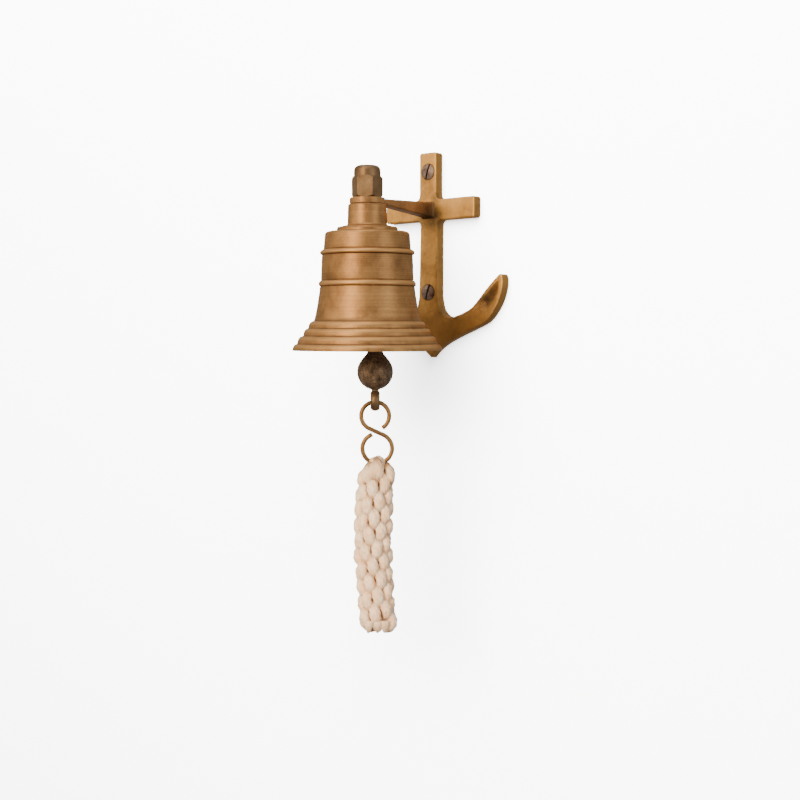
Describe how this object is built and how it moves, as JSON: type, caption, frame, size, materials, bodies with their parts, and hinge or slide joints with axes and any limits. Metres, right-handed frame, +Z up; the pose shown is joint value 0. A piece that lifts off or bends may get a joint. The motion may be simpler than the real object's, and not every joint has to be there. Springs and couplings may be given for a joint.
{
  "type": "ship bell",
  "caption": "Wall-mounted ship bell on an anchor-shaped bracket, with a free-swinging clapper, an S-hook and a plaited rope lanyard to ring it.",
  "frame": {"origin": "on the wall, on the anchor's flat back where its shank and stock cross", "axes": "+Y into the wall, +Z up along the anchor's shank, +X along the wall to the right as seen by someone facing it"},
  "size_m": [0.1278, 0.1483, 0.3317],
  "materials": {
    "anchor_brass": "cast and hand-finished antique brass, satin, darker in the corners",
    "bell_brass": "turned antique brass with fine lathe lines, satin",
    "fitting_brass": "antique brass, darker in corners and threads",
    "screw_bronze": "dark brown-stained brass, satin",
    "clapper_rod_brass": "dull dark brass wire",
    "clapper_iron": "rough dark brown cast metal",
    "hook_brass": "dull brass wire",
    "cotton_rope": "plaited cotton cord, cream with tan shading between the strands"
  },
  "bodies": {
    "bracket": {"anchor_bracket": "anchor_brass", "bracket_arm": "anchor_brass", "wall_screw_upper": "screw_bronze", "wall_screw_lower": "screw_bronze", "acorn_nut": "fitting_brass", "crown_collar": "bell_brass", "bell_body": "bell_brass", "inside_washer": "fitting_brass", "inside_lock_nut": "fitting_brass", "eye_bolt": "fitting_brass"},
    "clapper": {"clapper_rod": "clapper_rod_brass", "clapper_ball": "clapper_iron"},
    "hook": {"s_hook": "hook_brass"},
    "pull": {"lanyard": "cotton_rope"}
  },
  "joints": [
    {"name": "clapper_swing", "type": "hinge", "parent": "bracket", "child": "clapper", "pos_m": [0.0041, -0.0723, -0.0406], "axis": [0.6157, -0.788, 0], "range_deg": [-32, 25]},
    {"name": "hook_swing", "type": "hinge", "parent": "clapper", "child": "hook", "pos_m": [0.0041, -0.0723, -0.1334], "axis": [0.788, 0.6157, 0], "range_deg": [-45, 30]},
    {"name": "lanyard_swing", "type": "hinge", "parent": "hook", "child": "pull", "pos_m": [0.0052, -0.07144, -0.165], "axis": [0.6157, -0.788, 0], "range_deg": [-40, 40]}
  ]
}
